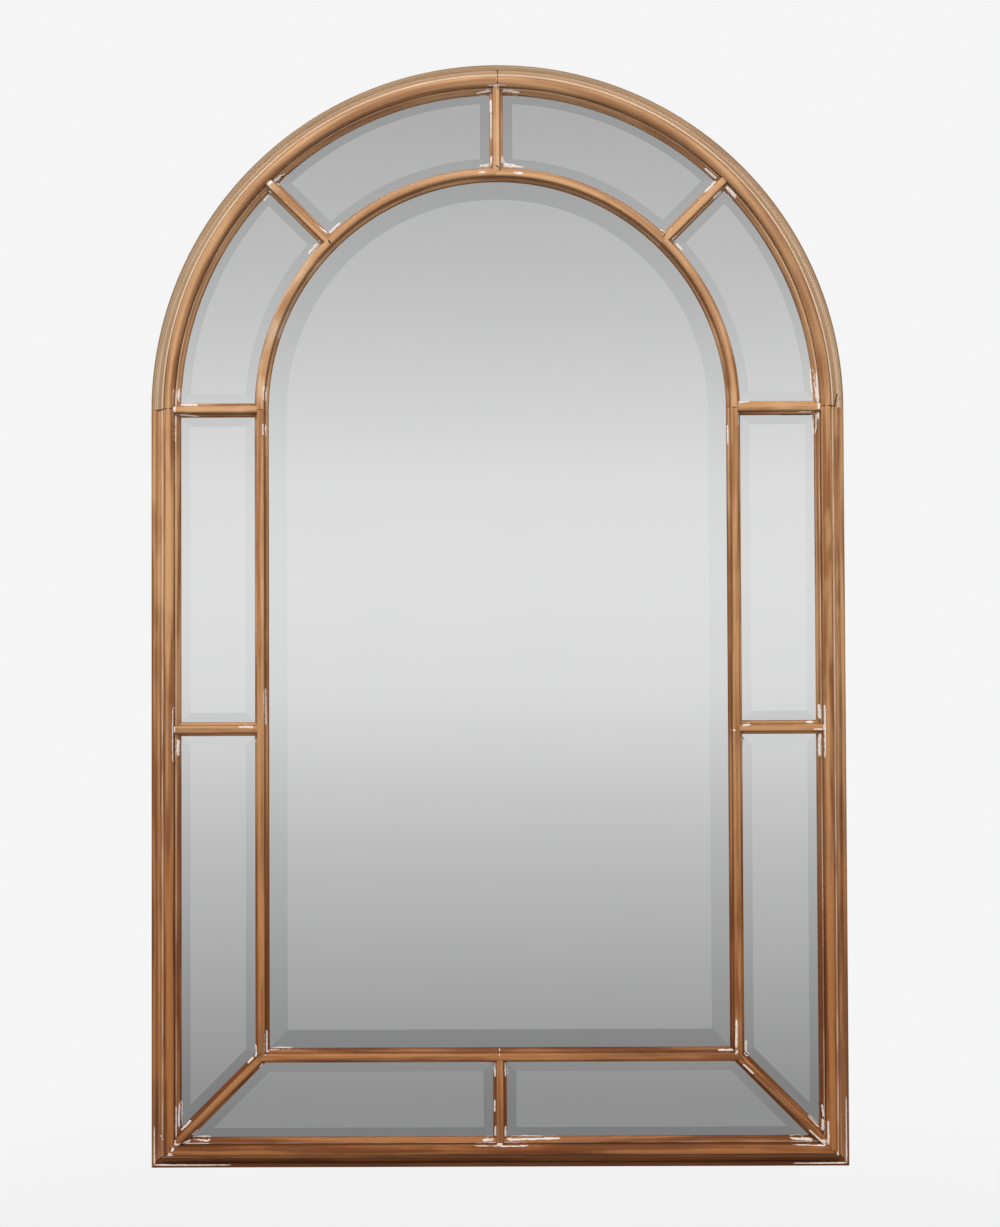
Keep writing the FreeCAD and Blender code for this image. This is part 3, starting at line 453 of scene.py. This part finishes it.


# ---- Filler and open joints ------------------------------------------------------------------------
# White filler was pressed into the joints by hand and left smeared along the beads and shoulders beside
# them. Where the wood has shrunk since, the joints stand open as thin dark lines: dark strips laid on the
# surface paint the shade in these gaps.

# Each line is a run of (x, z, half width) on the mirror's front, placed from the photograph. x and z
# are in millimetres, and SPREAD turns the half width, drawn finer than the smear is, into metres.
FILLER_LINES = {
    "crown_spoke": (
        ((-22.2, 411.7, 0.4), (-13.3, 412.4, 1.5), (-5.1, 413.2, 2.4)),
        ((7.3, 413.5, 2.4), (16.8, 412.7, 2.0), (26.3, 412.1, 0.8)),
        ((-11.0, 417.1, 0.6), (2.3, 417.7, 0.7), (12.4, 417.2, 0.6)),
        ((-5.6, 404.8, 1.0), (-5.8, 390.2, 0.9)),
        ((-5.6, 390.2, 0.6), (-5.7, 360.0, 0.4)),
        ((-5.1, 342.1, 1.0), (-5.1, 333.2, 1.3)),
        ((-19.1, 331.8, 0.4), (-11.4, 332.5, 1.0), (-5.2, 333.4, 1.3)),
        ((7.2, 342.0, 0.9), (7.3, 334.2, 1.3)),
        ((7.0, 333.6, 1.5), (17.6, 331.9, 1.2), (30.9, 330.1, 0.4)),
        ((-19.7, 321.1, 0.6), (-12.0, 321.7, 0.6)),
        ((19.2, 321.2, 0.9), (29.8, 320.0, 0.8)),
    ),
    "haunch_spoke_left": (
        ((-260.2, 294.9, 1.8), (-255.2, 300.8, 1.7), (-249.8, 306.4, 1.1)),
        ((-254.1, 307.8, 1.0), (-246.3, 314.8, 1.2), (-239.0, 319.2, 1.7), (-232.3, 323.3, 0.9)),
        ((-245.1, 314.4, 0.9), (-239.6, 310.8, 0.7)),
        ((-187.4, 256.4, 1.0), (-180.7, 263.0, 1.0), (-174.0, 269.1, 0.7)),
        ((-200.7, 265.9, 0.4), (-187.9, 256.9, 0.7)),
        ((-210.2, 234.1, 0.8), (-203.5, 241.4, 1.0), (-196.0, 249.1, 0.9)),
    ),
    "haunch_spoke_right": (
        ((231.5, 300.7, 0.9), (237.6, 306.8, 1.1), (243.8, 312.9, 0.8)),
        ((231.4, 326.6, 0.7), (238.4, 320.4, 0.8), (244.4, 314.8, 0.8)),
        ((254.3, 305.5, 1.5), (259.5, 300.1, 1.9), (265.7, 293.1, 1.4)),
        ((240.9, 293.4, 1.1), (246.5, 298.9, 1.1), (250.4, 302.3, 0.9)),
        ((182.3, 260.1, 0.6), (188.4, 255.6, 0.7)),
        ((195.6, 246.7, 1.0), (201.7, 241.6, 1.1), (207.7, 236.0, 0.6)),
        ((194.5, 247.2, 0.6), (200.6, 252.8, 0.4)),
    ),
    "springing_bar_left": (
        ((-356.7, 82.8, 0.9), (-356.9, 62.6, 1.0), (-357.0, 42.1, 0.9)),
        ((-357.1, 40.3, 0.7), (-357.2, 24.2, 0.7)),
        ((-350.6, 84.6, 1.1), (-352.4, 80.4, 1.3), (-352.9, 73.7, 1.3), (-351.9, 68.7, 1.1)),
        ((-351.6, 66.1, 0.8), (-341.1, 66.3, 0.9), (-332.2, 65.8, 0.7)),
        ((-354.4, 55.3, 0.6), (-347.8, 54.8, 0.7), (-331.1, 53.2, 0.4)),
        ((-256.9, 85.1, 1.0), (-257.5, 75.5, 1.1), (-257.9, 69.4, 0.9)),
        ((-258.1, 43.4, 1.0), (-257.9, 36.5, 1.1), (-258.3, 30.7, 0.9)),
    ),
    "springing_bar_right": (
        ((353.8, 99.4, 0.7), (354.9, 73.8, 1.0), (355.4, 46.0, 1.0)),
        ((348.9, 103.9, 1.1), (349.9, 90.5, 1.7), (351.5, 77.2, 1.7), (353.1, 69.4, 1.1)),
        ((351.8, 53.8, 1.4), (352.1, 40.5, 1.2), (351.7, 29.4, 0.6)),
        ((333.6, 55.2, 0.4), (349.1, 55.7, 0.7)),
        ((267.1, 65.9, 1.0), (271.6, 66.4, 0.9), (280.4, 67.5, 0.6)),
        ((266.8, 55.3, 0.7), (266.9, 39.7, 0.6)),
        ((255.3, 40.9, 0.6), (255.5, 18.7, 0.6)),
    ),
    "side_bar_left": (
        ((-357.7, -268.5, 0.8), (-357.7, -300.1, 1.0), (-357.7, -329.3, 0.8)),
        ((-353.6, -305.0, 1.3), (-353.6, -314.4, 1.5), (-353.6, -323.0, 1.4)),
        ((-286.5, -291.0, 0.7), (-278.2, -290.8, 1.0), (-269.9, -291.0, 0.9)),
        ((-257.7, -248.5, 0.6), (-257.7, -268.4, 0.7), (-257.2, -289.4, 0.6)),
        ((-269.7, -302.6, 0.8), (-268.8, -309.2, 0.6)),
    ),
    "side_bar_right": (
        ((358.4, -269.4, 0.8), (358.3, -297.4, 0.9), (358.2, -327.1, 0.8)),
        ((353.8, -268.6, 0.9), (354.3, -277.5, 1.2), (354.8, -285.2, 1.1)),
        ((354.2, -300.5, 1.1), (354.1, -313.9, 1.3), (354.2, -326.0, 1.1)),
        ((268.6, -291.3, 1.1), (278.0, -290.2, 0.8)),
        ((339.8, -288.8, 0.8), (347.6, -288.3, 0.9)),
        ((270.1, -304.7, 1.2), (270.3, -311.9, 0.9)),
        ((258.8, -295.6, 1.1), (258.9, -298.1, 1.1)),
        ((346.4, -296.1, 0.4), (356.9, -296.2, 0.8)),
    ),
    "corner_bar_left": (
        ((-380.6, -730.0, 0.3), (-380.6, -772.0, 0.5)),
        ((-380.6, -772.4, 0.5), (-345.0, -772.6, 0.5), (-296.0, -772.6, 0.3)),
        ((-356.5, -707.8, 0.7), (-356.7, -723.6, 0.8), (-356.7, -746.6, 0.8)),
        ((-351.9, -703.4, 0.9), (-352.4, -716.0, 1.1), (-352.6, -731.3, 1.1)),
        ((-340.5, -724.0, 0.7), (-346.0, -729.7, 1.0), (-352.1, -734.6, 1.0)),
        ((-332.2, -734.5, 0.7), (-336.1, -737.9, 0.9), (-339.4, -740.7, 0.9)),
        ((-340.0, -743.0, 0.9), (-330.6, -743.7, 1.5), (-319.0, -744.4, 1.5)),
        ((-356.5, -748.8, 0.9), (-348.2, -748.1, 0.9), (-339.4, -744.0, 0.7)),
        ((-346.0, -748.9, 0.6), (-333.9, -748.8, 0.7), (-319.6, -749.0, 0.7)),
        ((-355.9, -746.6, 0.9), (-358.7, -753.2, 0.9), (-363.1, -758.7, 0.9)),
        ((-364.8, -759.2, 0.9), (-358.1, -758.7, 0.9)),
        ((-373.6, -740.0, 0.7), (-372.5, -741.7, 0.7)),
        ((-370.9, -741.8, 0.7), (-370.3, -744.0, 0.7)),
        ((-269.4, -641.7, 0.9), (-269.0, -648.3, 1.0), (-268.8, -654.9, 1.0)),
        ((-271.5, -654.9, 0.8), (-274.8, -658.1, 0.8), (-277.8, -662.0, 0.8)),
        ((-257.1, -625.3, 0.7), (-257.5, -639.5, 0.9), (-257.4, -649.4, 1.0)),
        ((-258.8, -650.3, 1.1), (-254.4, -648.9, 0.9)),
        ((-254.4, -647.0, 0.8), (-242.3, -645.7, 0.8), (-229.1, -646.0, 0.6)),
        ((-261.1, -662.0, 0.8), (-264.9, -666.4, 0.7)),
    ),
    "corner_bar_right": (
        ((380.6, -700.0, 0.3), (380.6, -772.0, 0.5)),
        ((380.6, -772.4, 0.5), (352.0, -772.6, 0.5), (322.0, -772.6, 0.3)),
        ((259.5, -613.9, 0.8), (259.4, -632.5, 0.9), (259.0, -644.6, 0.9)),
        ((257.3, -647.9, 1.3), (260.6, -650.1, 1.5)),
        ((240.3, -648.9, 0.6), (256.8, -649.0, 0.8)),
        ((271.7, -639.1, 0.8), (270.9, -646.8, 1.1), (271.0, -654.5, 1.1)),
        ((270.5, -654.7, 1.1), (274.9, -654.0, 1.1)),
        ((266.6, -662.7, 0.6), (273.2, -668.7, 0.8), (278.6, -673.7, 0.6)),
        ((339.3, -721.0, 0.6), (345.3, -727.0, 0.9), (351.3, -733.6, 1.0)),
        ((353.9, -723.8, 1.3), (354.1, -730.3, 1.8), (354.1, -736.9, 1.4)),
        ((358.6, -723.8, 0.8), (358.5, -736.9, 0.9), (358.4, -750.0, 0.9)),
        ((353.7, -708.4, 0.7), (355.3, -721.6, 0.9)),
        ((318.8, -744.2, 0.9), (329.8, -745.0, 1.4), (343.0, -746.1, 1.7)),
        ((348.5, -747.8, 2.0), (357.3, -747.0, 1.8)),
        ((318.8, -749.3, 0.7), (338.6, -749.4, 0.9), (356.2, -750.2, 0.9)),
        ((338.7, -734.6, 0.6), (344.1, -740.1, 0.8), (350.7, -745.6, 0.8)),
        ((369.3, -758.8, 0.7), (370.9, -763.7, 0.8)),
    ),
    "bottom_centre_bar": (
        ((-5.2, -661.2, 1.3), (-5.4, -667.8, 1.2), (-5.4, -677.7, 0.6)),
        ((6.2, -661.3, 1.1), (6.7, -670.0, 1.2), (7.0, -677.2, 1.2)),
        ((-21.9, -662.8, 0.4), (-7.6, -662.3, 0.7)),
        ((-4.8, -731.3, 0.9), (-5.0, -742.3, 1.1)),
        ((5.9, -731.4, 0.8), (6.2, -743.4, 1.1)),
        ((-19.5, -746.1, 0.9), (-13.4, -745.0, 1.4), (-6.8, -744.5, 1.3)),
        ((7.5, -745.2, 1.4), (21.8, -744.6, 1.3), (43.8, -744.4, 0.9), (65.8, -744.7, 0.6)),
        ((-27.8, -749.7, 0.6), (-11.2, -749.2, 1.0), (10.8, -749.5, 1.0), (30.6, -749.9, 0.6)),
        ((-5.8, -702.9, 0.6), (-6.0, -716.0, 0.7)),
        ((-0.2, -645.9, 0.4), (-0.3, -652.5, 0.4)),
    ),
}

OPEN_JOINTS = {
    "arch": (
        ((1.9, 439.7, 0.5), (1.9, 414.0, 0.5)),
        ((-186.8, 247.2, 0.3), (-182.9, 242.7, 1.4)),
        ((187.8, 253.1, 0.3), (183.9, 249.2, 1.4)),
        ((4.2, 328.7, 0.4), (4.4, 323.1, 1.2)),
        ((-0.8, 329.5, 0.6), (4.2, 326.4, 0.7)),
    ),
    "springing": (
        ((-381.5, 60.2, 0.6), (-366.6, 60.4, 0.7), (-355.5, 60.0, 0.6)),
        ((356.9, 60.1, 0.7), (366.8, 60.5, 0.8), (374.0, 61.2, 0.7), (375.7, 68.4, 0.6), (377.6, 75.6, 0.6)),
        ((376.8, 67.9, 0.4), (381.3, 70.6, 0.4)),
        ((-265.8, 59.1, 0.4), (-257.5, 59.1, 0.4)),
        ((258.0, 59.5, 0.4), (266.3, 59.7, 0.4)),
        ((313.7, 52.6, 0.6), (348.0, 52.5, 0.4)),
        ((-250.0, 310.4, 0.7), (-242.4, 317.0, 0.9), (-235.6, 322.6, 0.6)),
    ),
    "corners": (
        ((352.1, -706.5, 0.8), (353.6, -721.0, 1.0)),
        ((-381.2, -771.6, 0.6), (-366.9, -759.1, 0.6), (-352.6, -745.5, 0.4)),
        ((383.4, -774.0, 0.6), (370.3, -761.4, 0.6), (357.3, -748.3, 0.4)),
        ((276.7, -671.7, 0.6), (278.8, -676.0, 0.9)),
        ((-271.2, -657.3, 0.6), (-261.3, -648.0, 0.6)),
        ((269.1, -658.5, 0.4), (260.4, -650.3, 0.4)),
    ),
}


# Of the strips: their steps along and across, their thickness, how far their edges sink into the wood, how
# far they stay behind the frame's foremost plane, and the drop in one face past which it is left out.
MILLIMETRE = 0.001
SPREAD = 0.00160
STRIP_STEP = 0.0011
STRIP_ROWS = 6
STRIP_THICKNESS = 0.0004
SUNK = 0.00006
SKIN = 0.0001
DROP_BESIDE = 0.0016
TO_THE_WALL = Vector((0, 1, 0))
BEFORE_THE_FRONT = -0.2


def fronts():
    """What a smear can lie on: every member and pane of the mirror's front."""
    corners, faces = [], []
    for name, node in nodes.items():
        if name.startswith(("frame_", "inner_", "pane_")) or "_bar" in name or "_spoke" in name:
            start = len(corners)
            corners.extend(vertex.co.copy() for vertex in node.data.vertices)
            faces.extend([start + index for index in face.vertices] for face in node.data.polygons)
    return BVHTree.FromPolygons(corners, faces)


def smear(shape, surface, line, lift, ragged, seed):
    """A thin ragged strip along a line, laid on what is behind it. Where the surface drops away the strip is
    left out, so that it never bridges a hollow, and it stays behind the frame's foremost plane."""
    places = [Vector((x, 0, z)) * MILLIMETRE for x, z, half in line]
    halves = [half * SPREAD for x, z, half in line]
    reaches = [0.0]
    for start, end in zip(places, places[1:]):
        reaches.append(reaches[-1] + (end - start).length)
    steps = max(4, int(reaches[-1] / STRIP_STEP))
    made = bmesh.ops.create_grid(shape, x_segments=steps, y_segments=STRIP_ROWS, size=0.5)["verts"]
    for vertex in made:
        along, across = (vertex.co.x + 0.5) * reaches[-1], vertex.co.y * 2
        leg = next((i for i in range(1, len(places)) if along <= reaches[i] + 1e-9), len(places) - 1)
        share = (along - reaches[leg - 1]) / (reaches[leg] - reaches[leg - 1])
        heading = (places[leg] - places[leg - 1]).normalized()
        beside = Vector((-heading.z, 0, heading.x))
        half = halves[leg - 1] + (halves[leg] - halves[leg - 1]) * share
        spot = places[leg - 1].lerp(places[leg], share)
        grit = noise.noise(Vector((spot.x * 260 + seed, across * 0.9, spot.z * 260)))
        taper = min(1.0, 0.35 + 9 * min(along, reaches[-1] - along) / max(reaches[-1], 0.006))
        spot = spot + beside * half * across * taper * (1 + ragged * grit)
        hit = surface.ray_cast(Vector((spot.x, BEFORE_THE_FRONT, spot.z)), TO_THE_WALL)[0]
        crust = noise.noise(Vector((spot.x * 700, seed, spot.z * 700)))
        rise = lift * (1 - across * across) * (1 + ragged * crust) - SUNK
        depth = max((hit.y if hit else 0.0) - rise, cad_box[0][1] + SKIN)
        vertex.co = Vector((spot.x, depth, spot.z))
    jumped = [face for face in shape.faces
              if max(v.co.y for v in face.verts) - min(v.co.y for v in face.verts) > DROP_BESIDE]
    bmesh.ops.delete(shape, geom=jumped, context="FACES")


def smear_piece(name, lines, material, lift, ragged, seed):
    """One piece of the strips along all of a joint's lines, each closed on every side."""
    shape = bmesh.new()
    for number, line in enumerate(lines):
        strip = bmesh.new()
        smear(strip, front, line, lift, ragged, seed + number * 3.7)
        if strip.faces:
            drawn = bmesh.ops.extrude_face_region(strip, geom=strip.faces[:], use_keep_orig=True)["geom"]
            rear = [part for part in drawn if isinstance(part, bmesh.types.BMVert)]
            bmesh.ops.translate(strip, verts=rear, vec=(0, STRIP_THICKNESS, 0))
            bmesh.ops.recalc_face_normals(strip, faces=strip.faces[:])
            carried = bpy.data.meshes.new("strip")
            strip.to_mesh(carried)
            shape.from_mesh(carried)
            bpy.data.meshes.remove(carried)
        strip.free()
    for face in shape.faces:
        face.smooth = True
    mesh = bpy.data.meshes.new(name)
    shape.to_mesh(mesh)
    shape.free()
    mesh.materials.append(material)
    piece = bpy.data.objects.new(name, mesh)
    bpy.context.collection.objects.link(piece)
    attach(piece, "root")


def filler_colour(point):
    grit = point.noise(900, 900, 900, detail=3).ramp(0.35, 0.65)
    chalk = grit.blend(paint(226, 210, 200), paint(246, 238, 232))
    stained = point.noise(160, 160, 160, detail=2, offset=5).ramp(0.58, 0.74)
    return chalk.tint(paint(190, 150, 120), stained * 0.55)


def shadow_colour(point):
    return point.noise(300, 300, 300).ramp(0.3, 0.7).blend(paint(58, 30, 14), paint(92, 52, 28))


front = fronts()
chalky = finish("white_filler", filler_colour,
                lambda point: point.noise(400, 400, 400).ramp(0.3, 0.7, 0.75, 0.92),
                lambda point: point.noise(900, 900, 900, detail=2), 0.0001)
shadowed = finish("open_joint", shadow_colour, 0.8)
for number, (place, lines) in enumerate(FILLER_LINES.items()):
    smear_piece(f"filler_{place}", lines, chalky, lift=0.00034, ragged=0.40, seed=number * 31.0)
for number, (place, lines) in enumerate(OPEN_JOINTS.items()):
    smear_piece(f"open_joints_{place}", lines, shadowed, lift=0.00016, ragged=0.30, seed=number * 17.0 + 400)


# ---- Backing board and its screws ------------------------------------------------------------------
# A sheet of smooth brown hardboard closes the back. It lies in a rebate of the frame and is held by zinc
# plated screws with round heads.


def hardboard_colour(point):
    fibres = point.noise(420, 420, 420, detail=4)
    patch = point.noise(6, 6, 6, detail=3, offset=4)
    base = fibres.ramp(0.35, 0.68).blend(paint(104, 74, 48), paint(138, 102, 68))
    return base.tint(paint(92, 64, 42), patch.ramp(0.45, 0.75) * 0.6)


hardboard = finish("hardboard", hardboard_colour,
                   lambda point: point.noise(60, 60, 60).ramp(0.3, 0.7, 0.5, 0.72),
                   lambda point: point.noise(500, 500, 500, detail=2), 0.0001)
dress(hardboard, "backing_board")


def zinc_colour(point):
    bloom = point.noise(160, 160, 160, detail=4, offset=2)
    base = bloom.ramp(0.35, 0.65).blend(paint(176, 178, 176), paint(206, 207, 202))
    return base.tint(paint(150, 140, 112), point.noise(70, 70, 70, offset=9).ramp(0.6, 0.75) * 0.5)


zinc = finish("zinc_plated_steel", zinc_colour,
              lambda point: point.noise(240, 240, 240).ramp(0.3, 0.7, 0.28, 0.46),
              lambda point: point.noise(900, 900, 900, detail=2), 0.00004, Metallic=1.0)
dress(zinc, "backing_screws")


# ---- Dowels ----------------------------------------------------------------------------------------
# Plain beech dowels hold the frame's five joints. They are glued into holes bored in the ends of both
# members, so nothing of them shows.


def beech_colour(point):
    return point.noise(300, 300, 60).ramp(0.3, 0.7).blend(paint(206, 170, 124), paint(224, 192, 148))


beech = finish("beech", beech_colour, lambda point: point.noise(200, 200, 200).ramp(0.3, 0.7, 0.6, 0.75))
dress(beech, "frame_joint_dowels")


# ---- Hangers ---------------------------------------------------------------------------------------
# A D-ring of 3 mm wire swings in the rolled end of a steel strap, high on each stile at the back, and two
# screws hold each strap. All of it is zinc plated.

dress(zinc, *(name for name in nodes if name.startswith("hanger_")))


# ---- Bumpers ---------------------------------------------------------------------------------------
# Four round bumpers of dark brown felt are stuck to the back of the frame. They keep it and its hangers
# off the wall.


def felt_colour(point):
    return point.noise(1500, 1500, 1500, detail=4).ramp(0.3, 0.7).blend(paint(58, 48, 40), paint(96, 82, 70))


felt = finish("felt", felt_colour, 0.95, lambda point: point.noise(2200, 2200, 2200, detail=3), 0.0004)
dress(felt, "wall_bumpers")


# ---- Studio ----------------------------------------------------------------------------------------
# A pale floor well below the hung mirror, a broad lamp above and in front, weak ones at the sides and one
# behind. The mirror shows the world as a pale wall, brightest at eye level and greyer above and below.

BACKGROUND = paint(245, 245, 245)
FLOOR_DROP = 0.9
FLOOR_RADIUS = 4.0
FLOOR_FADES = (2.4, 3.9)
floor_mesh = bpy.data.meshes.new("floor")
floor_shape = bmesh.new()
bmesh.ops.create_circle(floor_shape, cap_ends=True, segments=96, radius=FLOOR_RADIUS)
floor_shape.to_mesh(floor_mesh)
floor_shape.free()
floor_mesh.transform(Matrix.Translation((0, 0, BASE - FLOOR_DROP)))
floor = bpy.data.objects.new("floor", floor_mesh)
bpy.context.collection.objects.link(floor)
floor.visible_glossy = False
pale = bpy.data.materials.new("pale_floor")
pale.use_nodes = True
floor_tree = pale.node_tree
camera_ray = Shade(floor_tree).node("ShaderNodeLightPath", output="Is Camera Ray")
seen = (camera_ray + camera_ray.output("Is Transmission Ray")).math("MINIMUM", 1.0)
radius = camera_ray.node("ShaderNodeVectorMath", {"operation": "LENGTH"},
                         {0: camera_ray.node("ShaderNodeTexCoord", output="Object")}, "Value")
glow = camera_ray.node("ShaderNodeEmission", None, {"Color": BACKGROUND, "Strength": 1.0})
cloth = camera_ray.node("ShaderNodeBsdfDiffuse", None, {"Color": paint(225, 225, 225)})
laid = camera_ray.node("ShaderNodeMixShader", None, {0: seen * 0.8, 1: cloth, 2: glow})
clear = camera_ray.node("ShaderNodeBsdfTransparent")
edge = camera_ray.node("ShaderNodeMixShader", None, {0: radius.ramp(*FLOOR_FADES), 1: laid, 2: clear})
floor_tree.links.new(edge.socket, floor_tree.nodes["Material Output"].inputs["Surface"])
floor_mesh.materials.append(pale)

world = bpy.data.worlds.new("studio")
bpy.context.scene.world = world
world.use_nodes = True
sky = world.node_tree
heading = Shade(sky).node("ShaderNodeTexCoord", output="Generated")
split = heading.node("ShaderNodeSeparateXYZ", None, {0: heading})
x, y, z = split.output("X"), split.output("Y"), split.output("Z")
slope = z / (x * x * 0.2 + y * y + 0.0001).math("SQRT")


GLASS_REFLECTS = 0.876
AMBIENT = (0.43, 0.43, 0.43, 1)


def grey(value):
    """The world's own grey that the silvered glass shows as this one."""
    bright = linear(value) / GLASS_REFLECTS
    return (bright, bright, bright, 1)


# The wall's grey on a screen, by the slope of the line of sight.
WALL_GREYS = [(-0.60, 108), (-0.28, 145), (-0.122, 190), (-0.03, 218), (0.04, 223), (0.10, 220), (0.225, 192),
              (0.33, 174), (0.7, 160)]
wall = slope.node("ShaderNodeMapRange", {"interpolation_type": "LINEAR"}, {"Value": slope, 1: -1.0, 2: 1.0})
stops = [((at + 1) / 2, grey(value)) for at, value in WALL_GREYS]
wall = wall.node("ShaderNodeValToRGB", {"stops": stops}, {0: wall})
ray = heading.node("ShaderNodeLightPath", output="Is Camera Ray")
light = ray.output("Is Glossy Ray").blend(AMBIENT, wall)
light = light.tint(BACKGROUND, ray.math("MAXIMUM", ray.output("Is Transmission Ray")))
sky.links.new(light.socket, sky.nodes["Background"].inputs["Color"])
sky.nodes["Background"].inputs["Strength"].default_value = 1.0

LIT_PLACE = Vector((0, 0, -0.2))


def lamp(name, place, size, power, glossy=False):
    """A round lamp turned towards the mirror. Only a glossy one is reflected in the glass and the wax."""
    light_data = bpy.data.lights.new(name, "AREA")
    light_data.shape = "DISK"
    light_data.size = size
    light_data.energy = power
    made = bpy.data.objects.new(name, light_data)
    made.location = place
    made.rotation_euler = (LIT_PLACE - Vector(place)).to_track_quat("-Z", "Y").to_euler()
    made.visible_glossy = glossy
    bpy.context.collection.objects.link(made)


lamp("overhead", (-0.4, -2.2, 2.15), size=1.0, power=66, glossy=True)
lamp("left_fill", (-2.2, -2.2, 0.6), size=1.4, power=7)
lamp("right_fill", (2.2, -2.2, 0.6), size=1.4, power=12)
lamp("back_fill", (0.6, 2.6, 1.4), size=1.6, power=60)

SENSOR_WIDTH = 36.0
FOCAL_LENGTH_PIXELS = 1601.3
PICTURE_HEIGHT_PIXELS = 1227
CAMERA_PLACE = (0.0073, -1.8, -0.1988)
PITCH = math.radians(1.024)
YAW = math.radians(-0.166)
ROLL = math.radians(-0.236)

camera_data = bpy.data.cameras.new("camera")
camera = bpy.data.objects.new("camera", camera_data)
bpy.context.collection.objects.link(camera)
bpy.context.scene.camera = camera
camera_data.sensor_width = SENSOR_WIDTH
camera_data.lens = FOCAL_LENGTH_PIXELS / PICTURE_HEIGHT_PIXELS * SENSOR_WIDTH
camera.matrix_world = (Matrix.Translation(CAMERA_PLACE) @ Matrix.Rotation(-YAW, 4, "Z")
                       @ Matrix.Rotation(math.pi / 2 + PITCH, 4, "X") @ Matrix.Rotation(ROLL, 4, "Z"))
bpy.context.scene.view_settings.view_transform = "Standard"
